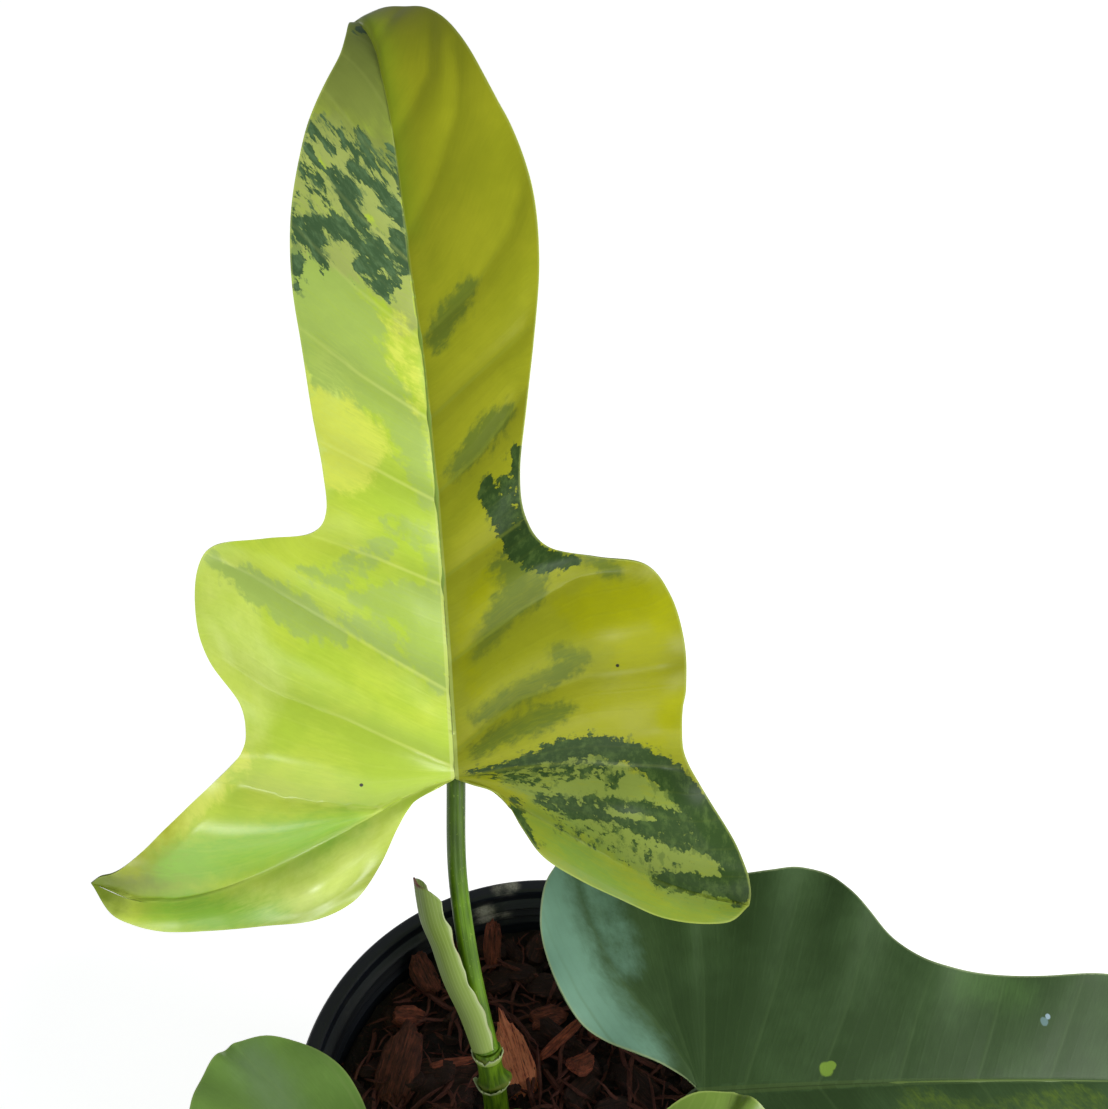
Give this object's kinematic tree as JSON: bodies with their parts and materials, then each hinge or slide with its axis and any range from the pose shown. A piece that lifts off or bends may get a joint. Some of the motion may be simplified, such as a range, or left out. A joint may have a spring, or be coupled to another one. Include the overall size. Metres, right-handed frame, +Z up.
{
  "type": "potted fiddle leaf philodendron",
  "caption": "Potted climbing houseplant with fiddle-shaped lobed leaves on arching stalks, a short stem and a pale sheath, rooted in chunky bark mix in a plain round nursery pot.",
  "frame": {"origin": "middle of the pot's flat underside", "axes": "+Z up, the side that faces the viewer is -Y, and the side leaf points along +X"},
  "size_m": [0.3687, 0.3856, 0.4092],
  "materials": {
    "pot": "black moulded plastic, semi-gloss",
    "bark": "rough orchid bark",
    "stem": "smooth green stem",
    "petiole": "smooth green stalk",
    "sheath": "thin pale green sheath",
    "leaf_variegated": "glossy leaf, lime with mint and dark green marbling",
    "leaf_dark": "glossy dark green leaf",
    "leaf_green": "glossy mid-green leaf",
    "leaf_lime": "glossy green leaf with lime sectors"
  },
  "bodies": {
    "root": {"pot": "pot", "bark_mix": "bark", "stem": "stem", "cataphyll": "sheath", "petiole_main": "petiole", "petiole_right": "petiole", "petiole_left": "petiole", "petiole_front": "petiole", "blade_main": "leaf_variegated", "blade_right": "leaf_dark", "blade_left": "leaf_green", "blade_front": "leaf_lime"}
  },
  "joints": []
}
